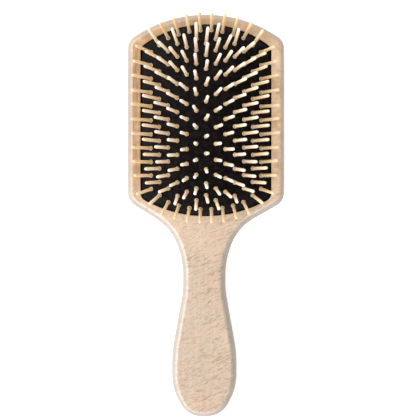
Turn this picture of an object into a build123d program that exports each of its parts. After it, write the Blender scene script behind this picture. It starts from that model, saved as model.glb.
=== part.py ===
from build123d import *
from math import asin, atan2, cos, degrees, exp, pi, sin, sqrt
import os

# A wooden paddle hairbrush: one routed wooden body, a domed rubber cushion and turned wooden pins.
# Millimetres. The brush lies on its flat back, pins up (+Z), handle towards -Y, width along X.
# The origin is on the back, at the middle of the overall length and width.

# Head, seen from the front: the opening sets its rims apart, and the rims set the shoulders
overall_length = 236.0
head_width = 92.0
body_thickness = 14.0
edge_round = 3.6
back_chamfer = 2.2
head_end_radius = 75.0
head_corner_radius = 8.0
end_rim_width = 6.8
side_rim_width = 8.4
side_end_overlap = 7.9
shoulder_radius = 9.0

# Handle: places measured from the throat or from the handle's end, and radii between them.
# Those between throat and end are drawn for the first length here, and stretch with the handle.
drawn_handle_length = 110.3
throat_half_width = 18.3
throat_gap = 8.3
throat_radius = 31.0
neck_half_width = 12.3
neck_top_place = 20.1
neck_bottom_place = 36.5
neck_radius = 48.0
grip_half_width = 18.8
grip_top_setback = 37.5
grip_top_radius = 80.0
grip_end_setback = 16.7
grip_end_radius = 32.0
butt_half_width = 9.7
butt_radius = 14.0

# Opening for the cushion, and the groove inside it that holds the cushion's flange
opening_half_length = 55.3
opening_end_radius = 61.3
opening_corner_radius = 5.0
recess_depth = 8.5
lip_thickness = 1.6
groove_height = 2.0
groove_depth = 1.8
rubber_clearance = 0.15

# Rubber cushion: a thin membrane that air pressure holds in a dome
crown_height = 13.0
membrane_thickness = 1.6
crown_fullness = 2.3
crown_roundness = 0.43
crown_stations = 9
crown_end_gap = 0.3
hollow_stations = 4
hollow_end_gap = 1.0
crown_skirt = 2.0

# One wooden pin
pin_sides = 6
pin_length = 17.5
pin_foot_radius = 1.6
pin_foot_height = 1.2
pin_shaft_radius = 1.2
pin_shoulder_radius = 1.0
pin_shoulder_drop = 0.8
pin_tip_radius = 0.5
pin_seat_gap = 0.08

# Layout of the pins: columns along the brush, and a curved row inside each end of the opening
columns_each_side = 6
side_column_inset = 7.528
rows_each_side = 5
side_row_inset = 11.915
middle_row_stretch = 2.1
middle_row_reach = 10.0
side_row_squeeze = 0.007
middle_row_squeeze = 0.05
middle_squeeze_reach = 8.0
end_row_inset = 3.9
end_row_pitch = 6.3
end_row_pins = 8

head_end = overall_length / 2
opening_centre = head_end - end_rim_width - opening_half_length
opening_half_width = head_width / 2 - side_rim_width
opening_end = opening_centre - opening_half_length
throat_place = opening_end - throat_gap
handle_stretch = (head_end + throat_place) / drawn_handle_length
rim_level = body_thickness
groove_ceiling = rim_level - lip_thickness
groove_floor = groove_ceiling - groove_height
recess_floor = rim_level - recess_depth


def arc_drop(radius, offset):
    # Fall of a circle below its top, at a sideways offset.
    return radius - sqrt(radius**2 - offset**2)


def body_outline():
    # Front outline: an arc over the head, then straight runs joined by tangent arcs, and its mirror.
    half_width = head_width / 2
    head_corner = head_end - arc_drop(head_end_radius, half_width)
    head_arc = ThreePointArc(
        (-half_width, head_corner),
        (0, head_end),
        (half_width, head_corner),
    )
    bends = [throat_radius, neck_radius, neck_radius, grip_top_radius, grip_end_radius]
    handle = FilletPolyline(
        (half_width, head_corner),
        (half_width, opening_end + side_end_overlap),
        (throat_half_width, throat_place),
        (neck_half_width, throat_place - neck_top_place * handle_stretch),
        (neck_half_width, throat_place - neck_bottom_place * handle_stretch),
        (grip_half_width, grip_top_setback * handle_stretch - head_end),
        (grip_half_width, grip_end_setback * handle_stretch - head_end),
        (butt_half_width, -head_end),
        (0, -head_end),
        radius=[shoulder_radius] + [bend * handle_stretch for bend in bends] + [butt_radius],
    )
    outline = make_face(head_arc + handle + mirror(handle, about=Plane.YZ))
    head_corners = [
        outline.vertices().sort_by_distance((side * half_width, head_corner))[0] for side in (1, -1)
    ]
    return fillet(head_corners, head_corner_radius)


def opening_outline(growth=0.0):
    # Outline of the cushion's opening, moved outwards evenly by growth.
    half_width = opening_half_width + growth
    half_length = opening_half_length + growth
    end_radius = opening_end_radius + growth
    corner = half_length - arc_drop(end_radius, half_width)
    ends = [
        ThreePointArc((-half_width, side * corner), (0, side * half_length), (half_width, side * corner))
        for side in (1, -1)
    ]
    sides = [Line((side * half_width, -corner), (side * half_width, corner)) for side in (1, -1)]
    outline = make_face(Curve() + ends + sides)
    outline = fillet(outline.vertices(), opening_corner_radius + growth)
    return Pos(0, opening_centre) * outline


def make_paddle():
    # Slab with a rounded front edge, a flat-floored recess and a groove behind the recess's lip.
    slab = extrude(body_outline(), body_thickness)
    slab = fillet(slab.faces().group_by(Axis.Z)[-1].edges(), edge_round)
    slab = chamfer(slab.faces().group_by(Axis.Z)[0].edges(), back_chamfer)
    recess = Pos(0, 0, recess_floor) * extrude(opening_outline(), body_thickness)
    groove = Pos(0, 0, groove_floor) * extrude(opening_outline(groove_depth), groove_height)
    return slab - recess - groove


def end_rise(place, half_length, crown):
    # Height of the crown's ridge: nearly level along the middle, then steep near the ends.
    share = abs(place) / half_length
    return crown * (1 - share**crown_fullness) ** crown_roundness


def dome_sections(growth, crown, stations, end_gap):
    # Sections of a dome over the opening: each is one arc from rim to rim through the ridge.
    half_width = opening_half_width + growth
    half_length = opening_half_length + growth
    end_radius = opening_end_radius + growth
    last_place = half_length - end_gap
    sections = []
    for station in range(-stations, stations + 1):
        place = last_place * sin(pi / 2 * station / stations)
        ridge = end_rise(place, half_length, crown)
        reach = abs(place) + end_radius - half_length
        rim = min(half_width, sqrt(end_radius**2 - reach**2))
        radius = (rim**2 + ridge**2) / (2 * ridge)
        skirt = sqrt(radius**2 - (radius - ridge - crown_skirt) ** 2)
        plane = Plane.XZ.offset(-opening_centre - place)
        low = rim_level - crown_skirt
        arc = ThreePointArc((-skirt, low), (0, rim_level + ridge), (skirt, low))
        sections.append(plane * make_face(arc + Line(arc @ 1, arc @ 0)))
    return sections


def dome(growth, crown, stations, end_gap):
    # Straight strips from section to section, cut off evenly round the opening's outline.
    block = Pos(0, 0, groove_floor) * extrude(opening_outline(growth), body_thickness + crown)
    return loft(dome_sections(growth, crown, stations, end_gap), ruled=True) & block


def make_cushion():
    # Outer and inner dome on a straight neck, which ends in the flange inside the groove.
    outer = -rubber_clearance
    inner = outer - membrane_thickness
    flange_floor = groove_floor + rubber_clearance
    flange_height = groove_height - 2 * rubber_clearance
    neck_height = rim_level - flange_floor
    flange = extrude(opening_outline(groove_depth + outer), flange_height)
    neck = extrude(opening_outline(outer), neck_height)
    hollow = extrude(opening_outline(inner), neck_height)
    shell = dome(outer, crown_height, crown_stations, crown_end_gap)
    shell = shell + Pos(0, 0, flange_floor) * (flange + neck)
    air = dome(inner, crown_height - membrane_thickness, hollow_stations, hollow_end_gap)
    return shell - Pos(0, 0, flange_floor) * hollow - air


def pin_stretch(low, low_radius, high, high_radius):
    # Straight tapering stretch of a pin between two heights; flat sides keep 165 pins light.
    flat_distance = cos(pi / pin_sides)
    narrowing = degrees(atan2((low_radius - high_radius) * flat_distance, high - low))
    base = Pos(0, 0, low) * RegularPolygon(low_radius, pin_sides)
    return extrude(base, high - low, taper=narrowing)


def make_pin():
    # Pin along Z, its foot's underside at zero: wide foot, tapering shaft and rounded tip.
    shoulder_height = pin_length - pin_shoulder_drop
    foot = pin_stretch(0, pin_foot_radius, pin_foot_height, pin_shaft_radius)
    shaft = pin_stretch(pin_foot_height, pin_shaft_radius, shoulder_height, pin_shoulder_radius)
    tip = pin_stretch(shoulder_height, pin_shoulder_radius, pin_length, pin_tip_radius)
    return foot + shaft + tip


def column_place(column):
    # Sideways place of a column: columns are equally spaced along the crown's middle arc.
    crown_radius = (opening_half_width**2 + crown_height**2) / (2 * crown_height)
    crown_reach = crown_radius * asin(opening_half_width / crown_radius)
    pitch = (crown_reach - side_column_inset) / columns_each_side
    return crown_radius * sin(column * pitch / crown_radius)


def row_place(side_place, row):
    # Place of a row along a column: wider spacing near the middle columns, closing up at the ends.
    last_row = rows_each_side + 0.5
    reach = opening_half_length - side_row_inset + side_row_squeeze * last_row**3
    pitch = reach / last_row + middle_row_stretch * exp(-((side_place / middle_row_reach) ** 2))
    squeeze = side_row_squeeze + middle_row_squeeze * exp(-((side_place / middle_squeeze_reach) ** 2))
    return pitch * row - squeeze * row**3


def column_rows(column):
    # Rows of a column, counted from the middle; odd columns sit half a row off and have one more.
    if column % 2:
        return [row + 0.5 for row in range(-rows_each_side - 1, rows_each_side + 1)]
    return [float(row) for row in range(-rows_each_side, rows_each_side + 1)]


def column_points(column, side):
    # Pin places of one half of a column; a pin in the middle belongs to the upper half.
    side_place = column_place(column)
    rows = [row for row in column_rows(column) if (row >= 0) == (side > 0)]
    return [(side_place, row_place(side_place, row)) for row in rows]


def end_row_points(side):
    # Pin places of the curved row inside one end of the opening.
    radius = opening_end_radius - end_row_inset
    arc_centre = opening_half_length - opening_end_radius
    points = []
    for index in range(end_row_pins):
        angle = (index - (end_row_pins - 1) / 2) * end_row_pitch / radius
        points.append((radius * sin(angle), side * (arc_centre + radius * cos(angle))))
    return points


def pin_groups():
    # Named groups of pins that lean together: two halves of each column, and both end rows.
    groups = {"pins_end_row_top": end_row_points(1), "pins_end_row_bottom": end_row_points(-1)}
    for column in range(-columns_each_side, columns_each_side + 1):
        number = column + columns_each_side + 1
        groups[f"pins_column_{number:02d}_upper"] = column_points(column, 1)
        groups[f"pins_column_{number:02d}_lower"] = column_points(column, -1)
    return groups


def seating_crown():
    # Smooth form of the crown: its straight strips in the cushion lie just inside it.
    return loft(dome_sections(-rubber_clearance, crown_height, crown_stations, crown_end_gap))


def pin_seat(crown, place):
    # Plane under a pin's foot: it lies on the crown and faces the way that the pin points.
    across, along = place
    line = Axis((across, opening_centre + along, rim_level), (0, 0, 1))
    point, normal = crown.find_intersection_points(line)[-1]
    return Plane(point, z_dir=normal)


def make_brush():
    # Every sub-part under its own name.
    parts = {"paddle": make_paddle(), "cushion": make_cushion()}
    crown = seating_crown()
    pin = Pos(0, 0, pin_seat_gap) * make_pin()
    for name, places in pin_groups().items():
        parts[name] = Compound([pin_seat(crown, place) * pin for place in places])
    return parts


os.makedirs("parts", exist_ok=True)
for name, shape in make_brush().items():
    export_step(shape, f"parts/{name}.step")
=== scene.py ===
from math import cos, radians, sin

import bpy
import numpy as np
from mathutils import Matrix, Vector, geometry


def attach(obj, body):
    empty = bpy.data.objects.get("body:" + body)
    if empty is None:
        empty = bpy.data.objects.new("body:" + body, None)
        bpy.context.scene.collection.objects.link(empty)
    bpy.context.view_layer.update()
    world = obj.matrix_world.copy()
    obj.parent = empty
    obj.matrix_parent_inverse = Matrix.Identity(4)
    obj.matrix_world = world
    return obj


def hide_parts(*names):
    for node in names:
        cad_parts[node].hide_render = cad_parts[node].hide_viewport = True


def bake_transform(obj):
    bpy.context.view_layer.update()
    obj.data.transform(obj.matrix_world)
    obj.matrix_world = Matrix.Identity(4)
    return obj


# A wooden paddle hairbrush, seen from straight above its pins. It lies on its back, with the pins
# upwards (Z), the handle towards -Y and the width along X. Shapes are worked out in millimetres, in
# the frame of the CAD, and become metres in their mesh.

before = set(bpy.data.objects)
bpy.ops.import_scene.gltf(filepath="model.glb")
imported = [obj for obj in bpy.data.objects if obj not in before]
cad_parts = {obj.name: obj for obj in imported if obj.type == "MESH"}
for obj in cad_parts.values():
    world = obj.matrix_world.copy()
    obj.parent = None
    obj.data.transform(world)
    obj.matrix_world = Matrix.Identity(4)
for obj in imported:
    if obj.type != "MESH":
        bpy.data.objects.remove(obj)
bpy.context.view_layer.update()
print("frame loaded:", len(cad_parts), "nodes")

millimetre = 0.001  # in metres
rimLevel = 14.0  # front face of the wooden body
arcStep = 0.05  # distance between points along an arc


def makePiece(name, points, quads, triangles=None, sharpAngle=40):
    # Puts whole arrays of points, four-cornered and three-cornered faces into one mesh.
    triangles = np.zeros((0, 3), int) if triangles is None else triangles
    corners = np.concatenate([quads.ravel(), triangles.ravel()])
    starts = np.concatenate([
        np.arange(len(quads)) * 4,
        len(quads) * 4 + np.arange(len(triangles)) * 3,
    ])
    mesh = bpy.data.meshes.new(name)
    mesh.vertices.add(len(points))
    mesh.vertices.foreach_set("co", (points * millimetre).ravel())
    mesh.loops.add(len(corners))
    mesh.loops.foreach_set("vertex_index", corners)
    mesh.polygons.add(len(starts))
    mesh.polygons.foreach_set("loop_start", starts)
    mesh.update(calc_edges=True)
    mesh.validate()
    mesh.shade_smooth()
    mesh.set_sharp_from_angle(angle=radians(sharpAngle))
    piece = bpy.data.objects.new(name, mesh)
    bpy.context.scene.collection.objects.link(piece)
    return piece


def addAttribute(piece, name, values):
    # One number for each point of the mesh, for the material to read.
    attribute = piece.data.attributes.new(name, "FLOAT", "POINT")
    attribute.data.foreach_set("value", values.astype(np.float32).ravel())


def ringQuads(rings, around, first=0):
    # Faces between neighbouring closed rings of points, which are stored ring after ring.
    ring, place = np.meshgrid(np.arange(rings - 1), np.arange(around), indexing="ij")
    following = (place + 1) % around
    low, high = first + ring * around, first + (ring + 1) * around
    corners = [low + place, low + following, high + following, high + place]
    return np.stack(corners, axis=-1).reshape(-1, 4)


def fillFlat(points, rings, upwards=True):
    # Triangles of the flat area inside a closed ring, or between it and a second ring in it. Each
    # ring is a row of point numbers.
    numbers = np.concatenate(rings)
    edges, count = [], 0
    for ring in rings:
        here = count + np.arange(len(ring))
        edges.append(np.stack([here, np.roll(here, -1)], axis=1))
        count += len(ring)
    flat = points[numbers, :2]
    result = geometry.delaunay_2d_cdt(flat.tolist(), np.concatenate(edges).tolist(), [], 2, 1e-7)
    origin = np.array([same[0] for same in result[3]])
    faces = numbers[origin[np.array(result[2])]]
    if len(rings) > 1:  # the inner ring is convex, so faces between three of its points would close it
        faces = faces[~np.isin(faces, rings[1]).all(axis=1)]
    a, b, c = points[faces[:, 0], :2], points[faces[:, 1], :2], points[faces[:, 2], :2]
    turn = (b[:, 0] - a[:, 0]) * (c[:, 1] - a[:, 1]) - (b[:, 1] - a[:, 1]) * (c[:, 0] - a[:, 0])
    wrong = (turn < 0) if upwards else (turn > 0)
    faces[wrong] = faces[wrong][:, ::-1]
    return faces


def arcPoints(centre, radius, start, end):
    # Point = centre + radius · (cos, sin) of an angle that runs evenly from start to end.
    count = max(3, int(abs(end - start) * radius / arcStep))
    angle = np.linspace(start, end, count)
    return np.stack([centre[0] + radius * np.cos(angle), centre[1] + radius * np.sin(angle)], axis=1)


def cornerArc(before, corner, after, radius):
    # Arc between two straight runs: its centre is radius / sin(half the inner angle) from the corner.
    before, corner, after = (np.array(point, float) for point in (before, corner, after))
    one = (before - corner) / np.linalg.norm(before - corner)
    two = (after - corner) / np.linalg.norm(after - corner)
    half = 0.5 * np.arccos(one @ two)
    middle = (one + two) / np.linalg.norm(one + two)
    centre = corner + middle * radius / np.sin(half)
    start = corner + one * radius / np.tan(half) - centre
    end = corner + two * radius / np.tan(half) - centre
    first = np.arctan2(start[1], start[0])
    sweep = (np.arctan2(end[1], end[0]) - first + np.pi) % (2 * np.pi) - np.pi
    return arcPoints(centre, radius, first, first + sweep)


def endArcs(arcCentre, endRadius, halfWidth, cornerRadius):
    # Right half of a curved end: the wide arc, then the small arc that meets the straight side.
    reach = endRadius - cornerRadius
    side = halfWidth - cornerRadius
    height = np.sqrt(reach**2 - side**2)
    meeting = np.arctan2(height, side)
    wide = arcPoints((0, arcCentre), endRadius, np.pi / 2, meeting)
    small = arcPoints((side, arcCentre + height), cornerRadius, meeting, 0)
    return np.concatenate([wide, small])


def spreadEvenly(points, count):
    # Closed outline of evenly spaced points: both coordinates as functions of the length run.
    closed = np.concatenate([points, points[:1]])
    step = np.linalg.norm(np.diff(closed, axis=0), axis=1)
    keep = np.concatenate([[True], step[:-1] > 1e-9, [True]])
    closed = closed[keep]
    run = np.concatenate([[0], np.cumsum(np.linalg.norm(np.diff(closed, axis=0), axis=1))])
    wanted = np.arange(count) * run[-1] / count
    return np.stack([np.interp(wanted, run, closed[:, axis]) for axis in (0, 1)], axis=1)


def outwards(outline):
    # Outward direction at each point of an outline that runs anticlockwise.
    along = np.roll(outline, -1, axis=0) - np.roll(outline, 1, axis=0)
    along /= np.linalg.norm(along, axis=1, keepdims=True)
    return np.stack([along[:, 1], -along[:, 0]], axis=1)


def carryProfile(outline, profile):
    # Point = outline + growth · outward direction, at the profile's height: one ring a profile point.
    direction = outwards(outline)
    growth, height = np.array(profile, float).T
    flat = outline[None] + growth[:, None, None] * direction[None]
    level = np.broadcast_to(height[:, None, None], (len(growth), len(outline), 1))
    return np.concatenate([flat, level], axis=2)


def quarterRound(growth, height, radius, start, end, steps):
    # Part of a circle in a profile, as (growth, height) pairs; angles in degrees.
    angle = np.radians(np.linspace(start, end, steps + 1))
    return list(zip(growth + radius * np.cos(angle), height + radius * np.sin(angle)))


# Wooden body: outline, edges, opening and groove.
paddleSize = {
    "top": 118.0,
    "headRadius": 75.0,
    "headHalfWidth": 46.0,
    "headCorner": 8.0,
    "corners": [  # straight runs of the right-hand side, and the radius that joins them
        ((46.0, 98.0), 0),
        ((46.0, 8.5), 9.0),
        ((18.6, -7.8), 31.0),
        ((12.5, -27.8), 48.0),
        ((12.5, -44.2), 48.0),
        ((19.0, -80.5), 80.0),
        ((19.0, -101.3), 32.0),
        ((10.0, -118.0), 14.0),
        ((0.0, -118.0), 0),
    ],
    "sway": 1.0,  # the handle lies this far left of the head's middle
    "swayStart": 9.0,
    "swayRun": 15.0,
    "frontRound": 6.2,
    "frontSteps": 10,
    "creaseAngle": 64,  # degrees that the front rounding turns before it meets the face
    "backRound": 3.2,
    "backSteps": 8,
    "landing": {"front": 0.25, "back": 0.3, "rim": 0.2},  # flat strip beside each rounding
    "openingMiddle": 55.9,
    "openingHalfWidth": 38.1,
    "openingHalfLength": 55.3,
    "openingEndRadius": 61.3,
    "nearHalfLength": 56.2,  # the end towards the handle is a little squarer
    "nearEndRadius": 74.0,
    "openingCorner": 5.0,
    "rimSoftness": 0.2,
    "rimSteps": 4,
    "recessFloor": 5.5,
    "floorCorner": [(0, 0.5), (-0.15, 0.15), (-0.5, 0), (-0.8, 0)],  # growth, and height above it
    "lipUnderside": 12.4,
    "grooveFloor": 10.4,
    "grooveDepth": 1.8,
    "outlinePoints": 960,
    "openingPoints": 640,
}


def paddleOutline():
    # Head arc, corner and side arcs of the right half, then their mirror, turned anticlockwise. Every
    # point moves left by sway · s²(3 - 2s), where s goes from 0 to 1 on the way down to the handle.
    size = paddleSize
    arcCentre = size["top"] - size["headRadius"]
    right = [endArcs(arcCentre, size["headRadius"], size["headHalfWidth"], size["headCorner"])]
    places = [place for place, radius in size["corners"]]
    for index in range(1, len(places) - 1):
        radius = size["corners"][index][1]
        right.append(cornerArc(places[index - 1], places[index], places[index + 1], radius))
    right.append(np.array([places[-1]]))
    right = np.concatenate(right)
    left = right[::-1] * (-1, 1)
    outline = spreadEvenly(np.concatenate([right, left[1:-1]])[::-1], size["outlinePoints"])
    share = np.clip((size["swayStart"] - outline[:, 1]) / size["swayRun"], 0, 1)
    outline[:, 0] -= size["sway"] * share**2 * (3 - 2 * share)
    return outline


def openingOutline(count):
    # Curved ends and straight sides of the cushion's opening, anticlockwise: the far and the near
    # end's arcs on the right, then their mirror.
    size = paddleSize
    far, near = [
        endArcs(length - radius, radius, size["openingHalfWidth"], size["openingCorner"])
        for length, radius in (
            (size["openingHalfLength"], size["openingEndRadius"]),
            (size["nearHalfLength"], size["nearEndRadius"]),
        )
    ]
    right = np.concatenate([far, near[::-1] * (1, -1)])
    left = right[::-1] * (-1, 1)
    outline = spreadEvenly(np.concatenate([right, left[1:-1]])[::-1], count)
    return outline + (0, size["openingMiddle"])


def makePaddle():
    # Outer wall, opening wall, and the flat faces between their rings, as one closed surface. Each
    # wall is a profile of (growth, height) pairs carried round its outline.
    size, landing = paddleSize, paddleSize["landing"]
    front, back, soft = size["frontRound"], size["backRound"], size["rimSoftness"]
    turn = size["creaseAngle"]
    frontCentre = rimLevel - front * sin(radians(turn))
    outerProfile = [(-back - landing["back"], 0)]
    outerProfile += quarterRound(-back, back, back, -90, 0, size["backSteps"])
    outerProfile += quarterRound(-front, frontCentre, front, 0, turn, size["frontSteps"])
    outerProfile += [(front * (cos(radians(turn)) - 1) - landing["front"], rimLevel)]
    openingProfile = [(soft + landing["rim"], rimLevel)]
    openingProfile += quarterRound(soft, rimLevel - soft, soft, 90, 180, size["rimSteps"])
    openingProfile += [
        (0, size["lipUnderside"]),
        (size["grooveDepth"], size["lipUnderside"]),
        (size["grooveDepth"], size["grooveFloor"]),
        (0, size["grooveFloor"]),
    ]
    openingProfile += [(growth, size["recessFloor"] + rise) for growth, rise in size["floorCorner"]]
    outer = carryProfile(paddleOutline(), outerProfile)
    opening = carryProfile(openingOutline(size["openingPoints"]), openingProfile)
    outerRings, outerAround = outer.shape[:2]
    openingRings, openingAround = opening.shape[:2]
    first = outerRings * outerAround
    points = np.concatenate([outer.reshape(-1, 3), opening.reshape(-1, 3)])
    quads = np.concatenate([
        ringQuads(outerRings, outerAround),
        ringQuads(openingRings, openingAround, first),
    ])
    backRing = np.arange(outerAround)
    frontRing = (outerRings - 1) * outerAround + np.arange(outerAround)
    mouthRing = first + np.arange(openingAround)
    floorRing = first + (openingRings - 1) * openingAround + np.arange(openingAround)
    triangles = np.concatenate([
        fillFlat(points, [frontRing, mouthRing]),
        fillFlat(points, [floorRing]),
        fillFlat(points, [backRing], upwards=False),
    ])
    return makePiece("woodenPaddle", points, quads, triangles)


# Rubber cushion: dome, skirt and flange.
cushionSize = {
    "crown": 13.0,
    "clearance": 0.15,
    "thickness": 1.6,
    "fullness": 2.3,  # how long the ridge stays high along the brush
    "roundness": 0.43,  # how steeply it falls at the ends
    "edgeRound": 2.6,
    "lastShare": 0.9995,  # stops short of the ends, where the cross arcs would be flat
    "around": 560,
    "rings": 90,
    "hollowRings": 24,
}


def crownHeight(x, y):
    # Ridge h = crown · (1 - |v|^fullness)^roundness along the brush; across it, an arc of radius
    # R = (w² + h²) / 2h from rim to rim: height = sqrt(R² - x²) - (R - h).
    size, body = cushionSize, paddleSize
    halfWidth = body["openingHalfWidth"] - size["clearance"]
    near = y < body["openingMiddle"]
    halfLength = np.where(near, body["nearHalfLength"], body["openingHalfLength"]) - size["clearance"]
    endRadius = np.where(near, body["nearEndRadius"], body["openingEndRadius"]) - size["clearance"]
    along = np.abs(y - body["openingMiddle"])
    share = np.clip(along / halfLength, 0, size["lastShare"])
    ridge = size["crown"] * (1 - share ** size["fullness"]) ** size["roundness"]
    reach = along + endRadius - halfLength
    width = np.minimum(halfWidth, np.sqrt(np.maximum(endRadius**2 - reach**2, 1)))
    radius = (width**2 + ridge**2) / (2 * ridge)
    return np.sqrt(np.maximum(radius**2 - x**2, 0)) - (radius - ridge)


def crownNormal(x, y):
    # Direction square to the crown, from its slopes: (-dz/dx, -dz/dy, 1), made one long.
    step = 0.05
    slopeX = (crownHeight(x + step, y) - crownHeight(x - step, y)) / (2 * step)
    slopeY = (crownHeight(x, y + step) - crownHeight(x, y - step)) / (2 * step)
    normal = np.stack([-slopeX, -slopeY, np.ones_like(slopeX)], axis=-1)
    return normal / np.linalg.norm(normal, axis=-1, keepdims=True)


def domeRings(outline, lower, shares):
    # Rings of the dome: the outline shrunk towards its middle, lifted to the crown; near the edge
    # the height follows a quarter circle down to the level where the rubber leaves the lip.
    size, body = cushionSize, paddleSize
    middle = np.array([0, body["openingMiddle"]])
    flat = middle + (outline - middle)[None] * shares[:, None, None]
    depth = (1 - shares)[:, None] * np.linalg.norm(outline - middle, axis=1)[None]
    facing = np.abs(np.sum(outwards(outline) * (outline - middle), axis=1))
    depth *= (facing / np.linalg.norm(outline - middle, axis=1))[None]
    rise = np.sqrt(1 - (1 - np.clip(depth / size["edgeRound"], 0, 1)) ** 2)
    level = body["lipUnderside"] - lower
    height = level + (rimLevel - lower + crownHeight(flat[..., 0], flat[..., 1]) - level) * rise
    return np.concatenate([flat, height[..., None]], axis=2)


def makeCushion():
    # Outer dome, then down the neck, round the flange in the groove, and back under the membrane.
    size, body = cushionSize, paddleSize
    outline = openingOutline(size["around"])
    outer = carryProfile(outline, [(-size["clearance"], 0)])[0][:, :2]
    inner = carryProfile(outline, [(-size["clearance"] - size["thickness"], 0)])[0][:, :2]
    shares = np.sin(np.linspace(0, 1, size["rings"]) * np.pi / 2)[1:]
    dome = domeRings(outer, 0, shares)
    flange = body["grooveDepth"] - size["clearance"]
    top, bottom = body["lipUnderside"] - size["clearance"], body["grooveFloor"] + size["clearance"]
    neck = carryProfile(outline, [
        (-size["clearance"], top),
        (flange, top),
        (flange, bottom),
        (-size["clearance"] - size["thickness"], bottom),
    ])
    hollowShares = np.sin(np.linspace(0, 1, size["hollowRings"]) * np.pi / 2)[1:]
    hollow = domeRings(inner, size["thickness"], hollowShares)[::-1]
    rings = np.concatenate([dome, neck, hollow])
    count, around = rings.shape[:2]
    points = rings.reshape(-1, 3)
    crownTop = (0, body["openingMiddle"], rimLevel + size["crown"])
    hollowTop = (0, body["openingMiddle"], rimLevel + size["crown"] - size["thickness"])
    points = np.concatenate([points, [crownTop], [hollowTop]])
    quads = ringQuads(count, around)[:, ::-1]
    here = np.arange(around)
    following = (here + 1) % around
    topFan = np.stack([here, following, np.full(around, count * around)], axis=1)
    last = (count - 1) * around
    bottomFan = np.stack([last + following, last + here, np.full(around, count * around + 1)], axis=1)
    fans = np.concatenate([topFan, bottomFan])
    return makePiece("rubberCushion", points, quads, fans, sharpAngle=50)


# Wooden pins: where they stand, their turned profile and how they lean.
pinSize = {
    "columnPitch": 5.5,
    "columnsEachSide": 6,
    "rowsEachSide": 5,
    "rowPitch": 8.1,
    "middleStretch": 2.1,  # the rows are this much further apart in the middle column
    "middleReach": 10.0,
    "sideSqueeze": 0.007,  # and closer again towards the ends
    "middleSqueeze": 0.05,
    "squeezeReach": 8.0,
    "endInset": 3.9,
    "endPitch": 6.3,
    "endPins": 8,
    "sides": 8,
    "sink": 0.1,  # depth of the sole's middle in the rubber
    "profile": [  # radius, height above the rubber
        (1.00, -0.1),
        (1.27, 0.3),
        (1.27, 0.95),
        (0.78, 1.4),
        (0.94, 2.3),
        (0.91, 16.2),
        (0.74, 17.0),
        (0.42, 17.42),
    ],
    "length": 17.55,
    "lean": {"right": 0.056, "outer": -0.133, "across": 0.127, "ends": -0.226},
    "lastLean": {  # (column, half): more lean of its last pin, to the right and away from the handle
        (3, 1): (-0.13, 0.0),
        (0, 1): (0.0, 0.1),
        (-3, -1): (0.11, -0.08),
        (3, -1): (-0.16, -0.02),
        (-5, -1): (0.0, -0.2),
        (5, -1): (0.0, -0.2),
        (-6, -1): (0.0, -0.17),
        (6, -1): (0.0, -0.17),
    },
    "lengthLean": {
        "up": 0.008,
        "along": 0.031,
        "twist": -0.029,
        "outer": -0.034,
        "ends": 0.04,
        "outerEnds": -0.119,
    },
    "endLean": {
        "inwards": -0.011,
        "outermost": 0.17,
        "top": -0.165,
        "middle": 0.08,
        "bottom": 0.09,
    },
    "unevenness": 0.012,
    "columnsAside": 0.12,
    "columnShift": (-1.0, -0.018),  # how far towards the handle: a distance, and a share of the place
    "endRowShift": (-0.85, -0.005),
    "toneSpread": 0.6,  # how much the pins' tones differ, and how much more golden the outer ones are painted, as painted shade
    "outerShadeTone": 0.5,
    "outerShadeFrom": 0.55,  # painted shade makes the pins duller from this share of the half width
    "outerShadeRun": 0.35,
}


def columnPins(column, side):
    # Columns are evenly spaced along the crown's arc. Along a column, place = pitch · row minus
    # squeeze · row³, and both are bell curves of the column's place across.
    size = pinSize
    width, crown = paddleSize["openingHalfWidth"], cushionSize["crown"]
    radius = (width**2 + crown**2) / (2 * crown)
    x = radius * np.sin(column * size["columnPitch"] / radius)
    half = size["rowsEachSide"] + (0.5 if column % 2 else 0)
    rows = np.arange(-half, half + 0.1)
    rows = rows[(rows >= 0) == (side > 0)]
    pitch = size["rowPitch"] + size["middleStretch"] * np.exp(-((x / size["middleReach"]) ** 2))
    squeeze = size["sideSqueeze"] + size["middleSqueeze"] * np.exp(-((x / size["squeezeReach"]) ** 2))
    shift, share = size["columnShift"]
    along = pitch * rows - squeeze * rows**3
    place = along + shift + share * along * (1 - (x / width) ** 2)
    return np.full(len(rows), x + size["columnsAside"]), place


def endPins(side):
    # A row of even angles along an arc a little inside one end of the opening.
    size = pinSize
    radius = paddleSize["openingEndRadius"] - size["endInset"]
    angle = (np.arange(size["endPins"]) - (size["endPins"] - 1) / 2) * size["endPitch"] / radius
    centre = paddleSize["openingHalfLength"] - paddleSize["openingEndRadius"]
    shift, share = size["endRowShift"]
    along = side * (centre + radius * np.cos(angle))
    return radius * np.sin(angle), along + shift + share * along


def pinLean(name, x, y, random):
    # Lean beside the crown's own direction, sideways and lengthways: sums of low powers of the pin's
    # place across and along, which go from -1 to 1 over the opening, and a little unevenness.
    lean, lengthLean, endLean = pinSize["lean"], pinSize["lengthLean"], pinSize["endLean"]
    if "End" in name:
        across = x / np.abs(x).max()
        sideways = endLean["inwards"] * x + endLean["outermost"] * across**3
        top = endLean["top"] + endLean["middle"] * (1 - across**2)
        lengthways = np.where(y > 0, top, endLean["bottom"])
    else:
        across = x / paddleSize["openingHalfWidth"]
        along = y / paddleSize["openingHalfLength"]
        sideways = (
            lean["right"]
            + lean["outer"] * across**2
            + (lean["across"] + lean["ends"] * along**2) * across
        )
        lengthways = (
            lengthLean["up"]
            + lengthLean["along"] * along
            + lengthLean["twist"] * across * along
            + lengthLean["outer"] * across**2
            + lengthLean["ends"] * along**2
            + lengthLean["outerEnds"] * across**2 * along
        )
    uneven = random.normal(0, pinSize["unevenness"], (len(x), 2))
    return np.stack([sideways + uneven[:, 0], lengthways + uneven[:, 1], np.zeros(len(x))], axis=1)


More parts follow.
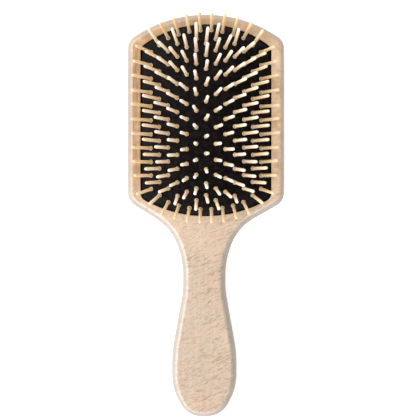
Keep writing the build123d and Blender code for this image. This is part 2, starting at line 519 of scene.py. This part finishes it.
def makePins(name, x, y, lastLean, random):
    # Each pin is one profile turned about its own axis: point = foot + height · axis + radius · side.
    size = pinSize
    lean = pinLean(name, x, y, random)
    lean[np.argmax(np.abs(y)), :2] += lastLean
    y = y + paddleSize["openingMiddle"]
    axis = crownNormal(x, y) + lean
    axis /= np.linalg.norm(axis, axis=1, keepdims=True)
    foot = np.stack([x, y, rimLevel + crownHeight(x, y)], axis=1)
    across = np.cross(axis, (0.0, 1.0, 0.0))
    across /= np.linalg.norm(across, axis=1, keepdims=True)
    along = np.cross(axis, across)
    radius, height = np.array(size["profile"]).T
    angle = np.arange(size["sides"]) * 2 * np.pi / size["sides"]
    turned = (
        np.cos(angle)[None, :, None] * across[:, None]
        + np.sin(angle)[None, :, None] * along[:, None]
    )
    rings = (
        foot[:, None, None]
        + height[None, :, None, None] * axis[:, None, None]
        + radius[None, :, None, None] * turned[:, None]
    )
    pins, ringCount, around = rings.shape[:3]
    tips = foot + size["length"] * axis
    soles = foot - size["sink"] * axis
    block = ringCount * around + 2
    points = np.concatenate([rings.reshape(pins, -1, 3), tips[:, None], soles[:, None]], axis=1)
    quads = ringQuads(ringCount, around)
    here = np.arange(around)
    following = (here + 1) % around
    last = (ringCount - 1) * around
    tipFan = np.stack([last + here, last + following, np.full(around, block - 2)], axis=1)
    soleFan = np.stack([following, here, np.full(around, block - 1)], axis=1)
    fans = np.concatenate([tipFan, soleFan])
    shift = np.arange(pins)[:, None, None] * block
    quads = (quads[None] + shift).reshape(-1, 4)
    fans = (fans[None] + shift).reshape(-1, 3)
    piece = makePiece(name, points.reshape(-1, 3), quads, fans, sharpAngle=60)
    # Painted shade: the outer pins are painted more golden and duller, for the less light that reaches
    # them; the end pins are all painted so.
    outer = np.abs(x) / paddleSize["openingHalfWidth"]
    tone = size["toneSpread"] * random.random(pins) + size["outerShadeTone"] * outer**2
    tint = random.random(pins)
    outerShade = np.clip((outer - size["outerShadeFrom"]) / size["outerShadeRun"], 0, 1)
    outerShade = np.ones(pins) if "End" in name else outerShade
    level = np.concatenate([np.repeat(height, around), [size["length"], -size["sink"]]])
    addAttribute(piece, "pinToneAndShade", np.repeat(tone, block))
    addAttribute(piece, "pinTint", np.repeat(tint, block))
    addAttribute(piece, "pinOuterShade", np.repeat(outerShade, block))
    addAttribute(piece, "pinHeight", np.tile(level / size["length"], pins))
    return piece


def put(tree, kind, inputs=None, **settings):
    # Adds a node; an input may be a plain value or another node's socket.
    node = tree.nodes.new(kind)
    for name, value in settings.items():
        setattr(node, name, value)
    for name, value in (inputs or {}).items():
        if isinstance(value, bpy.types.NodeSocket):
            tree.links.new(value, node.inputs[name])
        else:
            node.inputs[name].default_value = value
    return node


def startGroup(name, inputs, outputs):
    # An empty shader group with named sockets; returns the tree, its inputs and its outputs.
    tree = bpy.data.node_groups.new(name, "ShaderNodeTree")
    for label, kind, value in inputs:
        socket = tree.interface.new_socket(label, in_out="INPUT", socket_type=kind)
        if value is not None:
            socket.default_value = value
    for label, kind in outputs:
        tree.interface.new_socket(label, in_out="OUTPUT", socket_type=kind)
    return tree, tree.nodes.new("NodeGroupInput").outputs, tree.nodes.new("NodeGroupOutput").inputs


def startMaterial(name):
    # A new material with its Principled shader, and the object's own coordinates.
    material = bpy.data.materials.new(name)
    material.use_nodes = True
    tree = material.node_tree
    shader = tree.nodes["Principled BSDF"]
    place = tree.nodes.new("ShaderNodeTexCoord").outputs["Object"]
    return material, tree, shader, place


def colour(red, green, blue):
    # Screen colour, 0 to 255, as the linear colour that shaders use.
    screen = np.array([red, green, blue]) / 255
    linear = np.where(screen <= 0.04045, screen / 12.92, ((screen + 0.055) / 1.055) ** 2.4)
    return (*linear.tolist(), 1.0)


def blendColour(tree, share, one, two, mode="MIX"):
    # Mixes two colours by a share from 0 to 1; gives the socket of the result.
    node = put(tree, "ShaderNodeMix", data_type="RGBA", blend_type=mode)
    for place, value in ((0, share), (6, one), (7, two)):
        if isinstance(value, bpy.types.NodeSocket):
            tree.links.new(value, node.inputs[place])
        else:
            node.inputs[place].default_value = value
    return node.outputs[2]


def makeStreakGroup():
    # Noise drawn out along one direction: mask = noise(place · stretch), cut between low and high.
    tree, given, result = startGroup(
        "woodStreaks",
        [
            ("Place", "NodeSocketVector", None),
            ("Stretch", "NodeSocketVector", (100, 100, 100)),
            ("Detail", "NodeSocketFloat", 3.0),
            ("Waviness", "NodeSocketFloat", 0.0),
            ("Low", "NodeSocketFloat", 0.4),
            ("High", "NodeSocketFloat", 0.7),
        ],
        [("Mask", "NodeSocketFloat")],
    )
    sides = {0: given["Place"], 1: given["Stretch"]}
    stretched = put(tree, "ShaderNodeVectorMath", sides, operation="MULTIPLY")
    noise = put(tree, "ShaderNodeTexNoise", {
        "Vector": stretched.outputs[0],
        "Scale": 1.0,
        "Detail": given["Detail"],
        "Roughness": 0.55,
        "Distortion": given["Waviness"],
    })
    cut = put(tree, "ShaderNodeMapRange", {
        "Value": noise.outputs["Fac"],
        "From Min": given["Low"],
        "From Max": given["High"],
    }, interpolation_type="SMOOTHSTEP")
    tree.links.new(cut.outputs[0], result["Mask"])
    return tree


streakGroup = makeStreakGroup()


def streaks(tree, place, stretch, low, high, detail=3.0, waviness=0.0):
    # Places the streak group with values of its own and gives its mask.
    node = put(tree, "ShaderNodeGroup", node_tree=streakGroup)
    tree.links.new(place, node.inputs["Place"])
    node.inputs["Stretch"].default_value = stretch
    for name, value in (("Detail", detail), ("Waviness", waviness), ("Low", low), ("High", high)):
        node.inputs[name].default_value = value
    return node.outputs["Mask"]


def drift(tree, value, start, end):
    # Share that goes smoothly from 0 to 1 while a value goes from start to end.
    inputs = {"Value": value, "From Min": start, "From Max": end}
    return put(tree, "ShaderNodeMapRange", inputs, interpolation_type="SMOOTHSTEP").outputs[0]


def spread(tree, share, low, high):
    # Value that goes evenly from low to high while a share goes from 0 to 1.
    return put(tree, "ShaderNodeMapRange", {"Value": share, "To Min": low, "To Max": high}).outputs[0]


def ramp(tree, value, start, end):
    # Share that goes evenly from 0 to 1 while a value goes from start to end.
    inputs = {"Value": value, "From Min": start, "From Max": end}
    return put(tree, "ShaderNodeMapRange", inputs).outputs[0]


def combine(tree, operation, *values):
    # One of Blender's sums on plain values or sockets.
    return put(tree, "ShaderNodeMath", dict(enumerate(values)), operation=operation).outputs[0]


def times(tree, one, two):
    # Product of two values or sockets.
    return combine(tree, "MULTIPLY", one, two)


def addBump(tree, shader, height, strength, distance):
    # Fine relief: the height is a mask, the distance its depth in metres.
    bump = put(tree, "ShaderNodeBump", {"Height": height, "Strength": strength, "Distance": distance})
    tree.links.new(bump.outputs[0], shader.inputs["Normal"])


# Beech: colours along the brush, and the patterns laid over them.
woodLook = {
    "handle": colour(185, 165, 145),
    # paler throat: partly the wood's own tone, partly painted light that offsets the pins' shade on
    # the rim
    "throat": colour(208, 185, 162),
    # the head's left and right: partly the wood's own tone, partly painted shade on the left and
    # painted light on the right
    "head": colour(146, 108, 61),
    "headRightLight": colour(233, 202, 160),
    # painted shade at the top of the head, partly the wood's own tone
    "crestShade": colour(160, 125, 84),
    "amber": colour(194, 142, 84),
    "pink": colour(206, 166, 144),
    "fleck": colour(146, 115, 80),
    "pale": colour(212, 194, 176),
    # painted reflection and shade on the rounded sides
    "edge": colour(153, 149, 144),
    "shares": {  # how much of each colour is laid over the ones before it
        "crestShade": 0.8,
        "amber": 0.7,
        "pink": 0.45,
        "grain": 0.35,
        "flecks": 0.5,
        "edge": 0.72,
    },
    "zones": {  # where one tone begins to turn into the next and has done so, in metres
        "throat": (-0.035, -0.006),
        "head": (-0.004, 0.03),
        "crestShade": (0.092, 0.11),
        "side": (-0.046, 0.046),
        "belowFace": (0.0139, 0.0125),
        "aboveBack": (0.001, 0.0098),
    },
    "patterns": {  # stretch, low and high cut, detail, waviness
        "amber": ((110, 160, 110), 0.47, 0.66, 2),
        "pink": ((80, 95, 80), 0.5, 0.68, 2, 0.5),
        "grain": ((900, 45, 900), 0.3, 0.75, 4),
        "flecks": ((1100, 330, 1100), 0.6, 0.74, 3, 0.4),
        "crossing": ((165, 880, 165), 0.47, 0.635, 3, 1.8),
        "patches": ((42, 30, 42), 0.36, 0.6, 2, 0.6),
    },
    "crossingTurn": -25,  # degrees from straight across the brush
    "crossingShare": (0.4, 0.66),  # in the calm and the lively patches
    "headCalm": 0.3,  # what is left of the cross streaks on the head
    "roughness": (0.3, 0.44),
    "bump": (0.12, 0.0002),  # strength, and depth in metres
    "lacquer": 1.0,
    "lacquerRoughness": 0.13,
}


def makeBeech():
    # Pale wood: tone drifts from head to handle, long soft grain, short flecks, wavy cross streaks;
    # painted light and painted shade lie on the throat, the head and the rounded sides.
    look = woodLook
    shares, patterns, zones = look["shares"], look["patterns"], look["zones"]
    material, tree, shader, place = startMaterial("paleBeech")
    x, y, z = put(tree, "ShaderNodeSeparateXYZ", {0: place}).outputs
    headShare = drift(tree, y, *zones["head"])
    # Painted light and shade: the head runs from a darker left to a paler right. This is partly the
    # wood's own tone, and partly offsets the light from the left and the pins' shade on the right rim.
    head = blendColour(tree, drift(tree, x, *zones["side"]), look["head"], look["headRightLight"])
    # Painted shade: the top of the head is painted darker and more orange, against the lamp that
    # lights it more.
    crestShadeShare = times(tree, drift(tree, y, *zones["crestShade"]), shares["crestShade"])
    head = blendColour(tree, crestShadeShare, head, look["crestShade"])
    # Painted light: the throat is painted paler, partly the wood's own tone, partly offsetting the
    # pins' shade there.
    base = blendColour(tree, drift(tree, y, *zones["throat"]), look["handle"], look["throat"])
    base = blendColour(tree, headShare, base, head)
    amberMask = times(tree, streaks(tree, place, *patterns["amber"]), headShare)
    base = blendColour(tree, times(tree, amberMask, shares["amber"]), base, look["amber"])
    pinkMask = streaks(tree, place, *patterns["pink"])
    base = blendColour(tree, times(tree, pinkMask, shares["pink"]), base, look["pink"])
    grain = streaks(tree, place, *patterns["grain"])
    base = blendColour(tree, times(tree, grain, shares["grain"]), base, look["pale"])
    flecks = streaks(tree, place, *patterns["flecks"])
    base = blendColour(tree, times(tree, flecks, shares["flecks"]), base, look["fleck"])
    turn = (0, 0, radians(look["crossingTurn"]))
    turned = put(tree, "ShaderNodeMapping", {"Vector": place, "Rotation": turn}).outputs[0]
    crossing = streaks(tree, turned, *patterns["crossing"])
    lively = spread(tree, streaks(tree, place, *patterns["patches"]), *look["crossingShare"])
    lively = times(tree, lively, spread(tree, headShare, 1.0, look["headCalm"]))
    base = blendColour(tree, times(tree, crossing, lively), base, look["fleck"])
    # Painted reflection and shade: the rounded side is painted greyer than the face, most of all in
    # its upper round, in place of the pale room that it reflects.
    side = times(tree, drift(tree, z, *zones["belowFace"]), drift(tree, z, *zones["aboveBack"]))
    base = blendColour(tree, times(tree, side, shares["edge"]), base, look["edge"])
    tree.links.new(base, shader.inputs["Base Color"])
    tree.links.new(spread(tree, grain, *look["roughness"]), shader.inputs["Roughness"])
    addBump(tree, shader, grain, *look["bump"])
    shader.inputs["Coat Weight"].default_value = look["lacquer"]
    shader.inputs["Coat Roughness"].default_value = look["lacquerRoughness"]
    return material


# Rubber: nearly black, with a faint bloom.
rubberLook = {
    "dark": colour(3, 2, 2),
    "worn": colour(25, 19, 20),
    "gloss": 0.08,
    "cloud": ((330, 330, 330), 0.4, 0.68, 3),  # stretch, low and high cut, detail
    "grain": ((2200, 2200, 2200), 0.3, 0.7, 2),
    "roughness": (0.5, 0.65),
    "bump": (0.25, 0.0001),
}


def makeRubber():
    # Matt black with a cloudy bloom and a fine moulded texture.
    look = rubberLook
    material, tree, shader, place = startMaterial("mattRubber")
    cloud = streaks(tree, place, *look["cloud"])
    tree.links.new(blendColour(tree, cloud, look["dark"], look["worn"]), shader.inputs["Base Color"])
    tree.links.new(spread(tree, cloud, *look["roughness"]), shader.inputs["Roughness"])
    addBump(tree, shader, streaks(tree, place, *look["grain"]), *look["bump"])
    shader.inputs["Specular IOR Level"].default_value = look["gloss"]
    return material


# Pin wood: each pin has its own mix of these colours.
pinLook = {
    "cream": colour(254, 245, 218),
    "orange": colour(242, 217, 158),
    "pink": colour(246, 211, 194),
    # painted highlight on the tips
    "tip": colour(255, 252, 246),
    "gold": colour(222, 188, 136),
    # darker wood, used for the mottle and for the painted shade at the foot
    "foot": colour(206, 170, 130),
    # painted shade in the turned neck
    "ring": colour(128, 90, 58),
    "shares": {  # how much of each colour is laid over the ones before it
        "pink": 0.6,
        "mottle": 0.22,
        "foot": 0.35,
        "tip": 0.5,
        "outerShade": 0.5,
        "ring": 0.55,
    },
    "footShadeZone": (0.2, 0.02),  # heights as shares of the pin's length
    "tipZone": (0.45, 1.0),
    "neckShadeHeight": 0.085,
    "neckShadeWidth": 0.035,
    "mottle": ((420, 420, 420), 0.35, 0.7, 3),  # stretch, low and high cut, detail
    "roughness": (0.38, 0.5),
    "bump": (0.15, 0.0001),
}


def makePinWood():
    # Each pin has its own tone and tint. The tip is painted pale, a painted highlight; the foot is
    # painted darker and a dark ring is painted in the turned neck above the foot, both painted shade;
    # the outer pins are painted duller and more golden, a painted shade.
    look, shares = pinLook, pinLook["shares"]
    material, tree, shader, place = startMaterial("turnedPinWood")
    tone, tint, outerShade, height = [
        put(tree, "ShaderNodeAttribute", attribute_name=name).outputs["Fac"]
        for name in ("pinToneAndShade", "pinTint", "pinOuterShade", "pinHeight")
    ]
    base = blendColour(tree, tone, look["cream"], look["orange"])
    base = blendColour(tree, times(tree, tint, shares["pink"]), base, look["pink"])
    mottle = streaks(tree, place, *look["mottle"])
    base = blendColour(tree, times(tree, mottle, shares["mottle"]), base, look["foot"])
    # Painted shade: each pin is painted darker towards its foot, next to the rubber.
    footShadeShare = times(tree, ramp(tree, height, *look["footShadeZone"]), shares["foot"])
    base = blendColour(tree, footShadeShare, base, look["foot"])
    # Painted highlight: each pin is painted paler towards its tip.
    tipShare = times(tree, ramp(tree, height, *look["tipZone"]), shares["tip"])
    base = blendColour(tree, tipShare, base, blendColour(tree, outerShade, look["tip"], look["gold"]))
    # Painted shade: the outer and end pins are painted duller and more golden.
    base = blendColour(tree, times(tree, outerShade, shares["outerShade"]), base, look["gold"])
    # Painted shade: a dark ring where the shaft meets the foot, in the turned neck.
    apart = combine(tree, "ABSOLUTE", combine(tree, "SUBTRACT", height, look["neckShadeHeight"]))
    neckShadeShare = times(tree, ramp(tree, apart, look["neckShadeWidth"], 0.0), shares["ring"])
    base = blendColour(tree, neckShadeShare, base, look["ring"])
    tree.links.new(base, shader.inputs["Base Color"])
    tree.links.new(spread(tree, mottle, *look["roughness"]), shader.inputs["Roughness"])
    addBump(tree, shader, mottle, *look["bump"])
    return material


beech = makeBeech()
rubber = makeRubber()
pinWood = makePinWood()
print("materials made")

paddle = makePaddle()
paddle.data.materials.append(beech)
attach(paddle, "paddle")
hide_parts("paddle")
print("wooden body made:", len(paddle.data.polygons), "faces")

cushion = makeCushion()
cushion.data.materials.append(rubber)
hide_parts("cushion")
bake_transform(cushion)
print("rubber cushion made:", len(cushion.data.polygons), "faces")

random = np.random.default_rng(7)
pinGroups = [
    ("pins_end_row_top", "topEndPins", endPins(1), (0, 0)),
    ("pins_end_row_bottom", "bottomEndPins", endPins(-1), (0, 0)),
]
for column in range(-pinSize["columnsEachSide"], pinSize["columnsEachSide"] + 1):
    number = column + pinSize["columnsEachSide"] + 1
    for half, side in (("upper", 1), ("lower", -1)):
        pinGroups.append((
            f"pins_column_{number:02d}_{half}",
            f"columnPins{number:02d}{half.title()}",
            columnPins(column, side),
            pinSize["lastLean"].get((column, side), (0, 0)),
        ))
for node, name, (x, y), lastLean in pinGroups:
    pins = makePins(name, x, y, lastLean, random)
    pins.data.materials.append(pinWood)
    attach(pins, node)
    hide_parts(node)
print("pins made:", len(pinGroups), "groups")


# Studio: camera, floor, and light from all round.
studio = {
    "cameraPlace": (0.0018, 0.0038, 0.534),
    "lens": 76.95,
    "floorSize": 3.0,
    "floorDrop": 0.00005,  # the floor is this far below the brush's back, in metres
    "floorTone": 0.7,
    "floorRoughness": 0.9,
    "floorGloss": 0.2,
    "floorWhite": 0.6,
    "horizonLight": 0.9,
    "slopeLight": 2.35,
    "slopeHeight": 0.35,
    "zenithLight": 0.5,
    "leftLight": 0.75,
    "nearLight": 0.3,
    "shadeLimit": 0.15,
    "topPlace": (-0.5, 1.0, 1.5),
    "topSize": 0.7,
    "topPower": 8.0,
}


def makeFloor():
    # A square of white paper just under the brush.
    half, level = studio["floorSize"] / 2, -studio["floorDrop"]
    corners = [(-half, -half), (half, -half), (half, half), (-half, half)]
    points = np.array([(x, y, level) for x, y in corners]) / millimetre
    floor = makePiece("studioFloor", points, np.array([[0, 1, 2, 3]]))
    material, tree, shader = startMaterial("floorPaint")[:3]
    tone = studio["floorTone"]
    shader.inputs["Base Color"].default_value = (tone, tone, tone, 1)
    shader.inputs["Roughness"].default_value = studio["floorRoughness"]
    shader.inputs["Specular IOR Level"].default_value = studio["floorGloss"]
    shader.inputs["Emission Color"].default_value = (1, 1, 1, 1)
    # The paper looks quite white, but throws less light back.
    seen = tree.nodes.new("ShaderNodeLightPath").outputs["Is Camera Ray"]
    glow = times(tree, seen, studio["floorWhite"])
    tree.links.new(glow, shader.inputs["Emission Strength"])
    floor.data.materials.append(material)


def makeLight(name, place, size, power):
    # A square soft box that faces the brush.
    light = bpy.data.lights.new(name, "AREA")
    light.shape = "SQUARE"
    light.size = size
    light.energy = power
    lamp = bpy.data.objects.new(name, light)
    lamp.location = place
    lamp.rotation_euler = (-Vector(place)).to_track_quat("-Z", "Y").to_euler()
    bpy.context.scene.collection.objects.link(lamp)


def makeSoftRoom():
    # Light from all round, more of it from the left and the handle's end. Its strength rises from the
    # horizon to a slope and falls again to the zenith, times (1 - left · x - near · y), which never
    # goes below a limit.
    world = bpy.data.worlds.new("softRoom")
    world.use_nodes = True
    tree = world.node_tree
    direction = put(tree, "ShaderNodeTexCoord").outputs["Generated"]
    split = put(tree, "ShaderNodeSeparateXYZ", {0: direction})
    rising = put(tree, "ShaderNodeMapRange", {
        "Value": split.outputs["Z"],
        "From Max": studio["slopeHeight"],
        "To Min": studio["horizonLight"],
        "To Max": studio["slopeLight"],
    }).outputs[0]
    falling = put(tree, "ShaderNodeMapRange", {
        "Value": split.outputs["Z"],
        "From Min": studio["slopeHeight"],
        "To Min": studio["slopeLight"],
        "To Max": studio["zenithLight"],
    }).outputs[0]
    height = combine(tree, "MINIMUM", rising, falling)
    side = combine(tree, "MULTIPLY_ADD", split.outputs["X"], -studio["leftLight"], 1.0)
    side = combine(tree, "MULTIPLY_ADD", split.outputs["Y"], -studio["nearLight"], side)
    side = combine(tree, "MAXIMUM", side, studio["shadeLimit"])
    tree.nodes["Background"].inputs["Color"].default_value = (1, 1, 1, 1)
    seen = tree.nodes.new("ShaderNodeLightPath").outputs["Is Camera Ray"]
    # The camera sees plain white instead.
    strength = put(tree, "ShaderNodeMix", {0: seen, 2: times(tree, height, side), 3: 1.0})
    tree.links.new(strength.outputs[0], tree.nodes["Background"].inputs["Strength"])
    return world


def makeStudio():
    # Floor, lamp, room and the camera, which looks straight down.
    scene = bpy.context.scene
    makeFloor()
    makeLight("topLight", studio["topPlace"], studio["topSize"], studio["topPower"])
    scene.world = makeSoftRoom()
    camera = bpy.data.objects.new("photoCamera", bpy.data.cameras.new("photoCamera"))
    camera.data.lens = studio["lens"]
    camera.location = studio["cameraPlace"]
    scene.collection.objects.link(camera)
    scene.camera = camera
    scene.view_settings.view_transform = "Standard"


makeStudio()
print("studio made")
